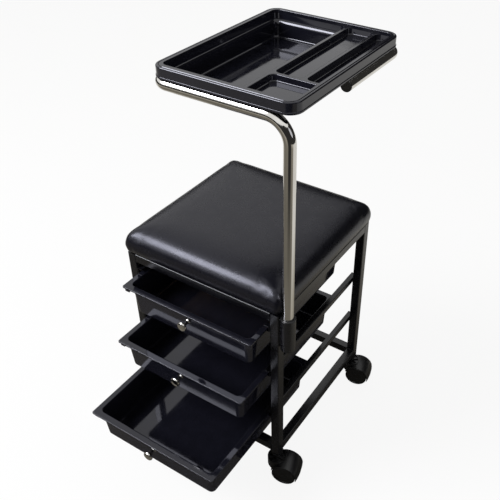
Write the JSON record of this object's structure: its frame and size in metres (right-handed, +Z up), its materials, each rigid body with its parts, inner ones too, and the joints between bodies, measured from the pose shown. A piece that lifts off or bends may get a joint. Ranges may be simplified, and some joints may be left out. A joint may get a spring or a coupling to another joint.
{
  "type": "rolling salon trolley",
  "caption": "Stool-height rolling trolley: square-tube frame with padded seat, sliding moulded drawers, twin-wheel casters and a swivelling divided tool tray on a bent tube.",
  "frame": {"origin": "on the floor, under the middle of the part's box as it stands with its drawers part open", "axes": "+X to the trolley's right, +Y to its back, +Z up; the drawers pull out along -Y"},
  "size_m": [0.3868, 0.5412, 0.8278],
  "materials": {
    "powder_coat": "glossy black powder coat",
    "moulded_plastic": "polished black moulding",
    "wheel_plastic": "satin black moulding",
    "vinyl": "soft black upholstery vinyl",
    "plywood": "raw plywood",
    "chrome": "polished chrome plate",
    "zinc_steel": "bright zinc plate",
    "nylon": "dark grey nylon"
  },
  "bodies": {
    "frame": {"lower_rail_front": "powder_coat", "lower_rail_left": "powder_coat", "lower_rail_rear": "powder_coat", "lower_rail_right": "powder_coat", "post_front_left": "powder_coat", "post_front_right": "powder_coat", "post_rear_left": "powder_coat", "post_rear_right": "powder_coat", "runner_bottom_left": "powder_coat", "runner_bottom_right": "powder_coat", "runner_middle_left": "powder_coat", "runner_middle_right": "powder_coat", "runner_top_left": "powder_coat", "runner_top_right": "powder_coat", "seat_board": "plywood", "seat_cushion": "vinyl", "socket_bush": "nylon", "stem_insert_front_left": "nylon", "stem_insert_front_right": "nylon", "stem_insert_rear_left": "nylon", "stem_insert_rear_right": "nylon", "tray_socket": "powder_coat", "upper_rail_front": "powder_coat", "upper_rail_left": "powder_coat", "upper_rail_rear": "powder_coat", "upper_rail_right": "powder_coat"},
    "drawer_top_slide": {"drawer_top": "moulded_plastic", "knob_top": "chrome", "knob_screw_top": "zinc_steel"},
    "drawer_middle_slide": {"drawer_middle": "moulded_plastic", "knob_middle": "chrome", "knob_screw_middle": "zinc_steel"},
    "drawer_bottom_slide": {"drawer_bottom": "moulded_plastic", "knob_bottom": "chrome", "knob_screw_bottom": "zinc_steel"},
    "tray_arm": {"tray_rod": "chrome", "rod_cap": "moulded_plastic", "tool_tray": "moulded_plastic", "tray_screw_left": "zinc_steel", "tray_screw_right": "zinc_steel"},
    "caster_front_left": {"caster_housing_front_left": "moulded_plastic", "caster_stem_front_left": "zinc_steel", "caster_axle_front_left": "zinc_steel"},
    "wheel_front_left_outer_body": {"wheel_front_left_outer": "wheel_plastic"},
    "wheel_front_left_inner_body": {"wheel_front_left_inner": "wheel_plastic"},
    "caster_front_right": {"caster_housing_front_right": "moulded_plastic", "caster_stem_front_right": "zinc_steel", "caster_axle_front_right": "zinc_steel"},
    "wheel_front_right_outer_body": {"wheel_front_right_outer": "wheel_plastic"},
    "wheel_front_right_inner_body": {"wheel_front_right_inner": "wheel_plastic"},
    "caster_rear_left": {"caster_housing_rear_left": "moulded_plastic", "caster_stem_rear_left": "zinc_steel", "caster_axle_rear_left": "zinc_steel"},
    "wheel_rear_left_outer_body": {"wheel_rear_left_outer": "wheel_plastic"},
    "wheel_rear_left_inner_body": {"wheel_rear_left_inner": "wheel_plastic"},
    "caster_rear_right": {"caster_housing_rear_right": "moulded_plastic", "caster_stem_rear_right": "zinc_steel", "caster_axle_rear_right": "zinc_steel"},
    "wheel_rear_right_outer_body": {"wheel_rear_right_outer": "wheel_plastic"},
    "wheel_rear_right_inner_body": {"wheel_rear_right_inner": "wheel_plastic"}
  },
  "joints": [
    {"name": "drawer_top_runner", "type": "slide", "parent": "frame", "child": "drawer_top_slide", "axis": [0, -1, 0], "range_m": [-0.041, 0.179]},
    {"name": "drawer_middle_runner", "type": "slide", "parent": "frame", "child": "drawer_middle_slide", "axis": [0, -1, 0], "range_m": [-0.075, 0.145]},
    {"name": "drawer_bottom_runner", "type": "slide", "parent": "frame", "child": "drawer_bottom_slide", "axis": [0, -1, 0], "range_m": [-0.168, 0.052]},
    {"name": "tray_arm_swivel", "type": "hinge", "parent": "frame", "child": "tray_arm", "pos_m": [0.16448, -0.07776, 0.441], "axis": [0, 0, 1], "continuous": true},
    {"name": "caster_front_left_swivel", "type": "hinge", "parent": "frame", "child": "caster_front_left", "pos_m": [-0.17402, -0.07776, 0.067], "axis": [0, 0, 1], "continuous": true},
    {"name": "wheel_front_left_outer_spin", "type": "hinge", "parent": "caster_front_left", "child": "wheel_front_left_outer_body", "pos_m": [-0.15523, -0.07092, 0.025], "axis": [-0.342, 0.9397, 0], "continuous": true},
    {"name": "wheel_front_left_inner_spin", "type": "hinge", "parent": "caster_front_left", "child": "wheel_front_left_inner_body", "pos_m": [-0.15523, -0.07092, 0.025], "axis": [-0.342, 0.9397, 0], "continuous": true},
    {"name": "caster_front_right_swivel", "type": "hinge", "parent": "frame", "child": "caster_front_right", "pos_m": [0.14198, -0.07776, 0.067], "axis": [0, 0, 1], "continuous": true},
    {"name": "wheel_front_right_outer_spin", "type": "hinge", "parent": "caster_front_right", "child": "wheel_front_right_outer_body", "pos_m": [0.16147, -0.07326, 0.025], "axis": [-0.225, 0.9744, 0], "continuous": true},
    {"name": "wheel_front_right_inner_spin", "type": "hinge", "parent": "caster_front_right", "child": "wheel_front_right_inner_body", "pos_m": [0.16147, -0.07326, 0.025], "axis": [-0.225, 0.9744, 0], "continuous": true},
    {"name": "caster_rear_left_swivel", "type": "hinge", "parent": "frame", "child": "caster_rear_left", "pos_m": [-0.17402, 0.23824, 0.067], "axis": [0, 0, 1], "continuous": true},
    {"name": "wheel_rear_left_outer_spin", "type": "hinge", "parent": "caster_rear_left", "child": "wheel_rear_left_outer_body", "pos_m": [-0.1541, 0.23998, 0.025], "axis": [-0.0872, 0.9962, 0], "continuous": true},
    {"name": "wheel_rear_left_inner_spin", "type": "hinge", "parent": "caster_rear_left", "child": "wheel_rear_left_inner_body", "pos_m": [-0.1541, 0.23998, 0.025], "axis": [-0.0872, 0.9962, 0], "continuous": true},
    {"name": "caster_rear_right_swivel", "type": "hinge", "parent": "frame", "child": "caster_rear_right", "pos_m": [0.14198, 0.23824, 0.067], "axis": [0, 0, 1], "continuous": true},
    {"name": "wheel_rear_right_outer_spin", "type": "hinge", "parent": "caster_rear_right", "child": "wheel_rear_right_outer_body", "pos_m": [0.16154, 0.24239, 0.025], "axis": [-0.2079, 0.9781, 0], "continuous": true},
    {"name": "wheel_rear_right_inner_spin", "type": "hinge", "parent": "caster_rear_right", "child": "wheel_rear_right_inner_body", "pos_m": [0.16154, 0.24239, 0.025], "axis": [-0.2079, 0.9781, 0], "continuous": true}
  ]
}
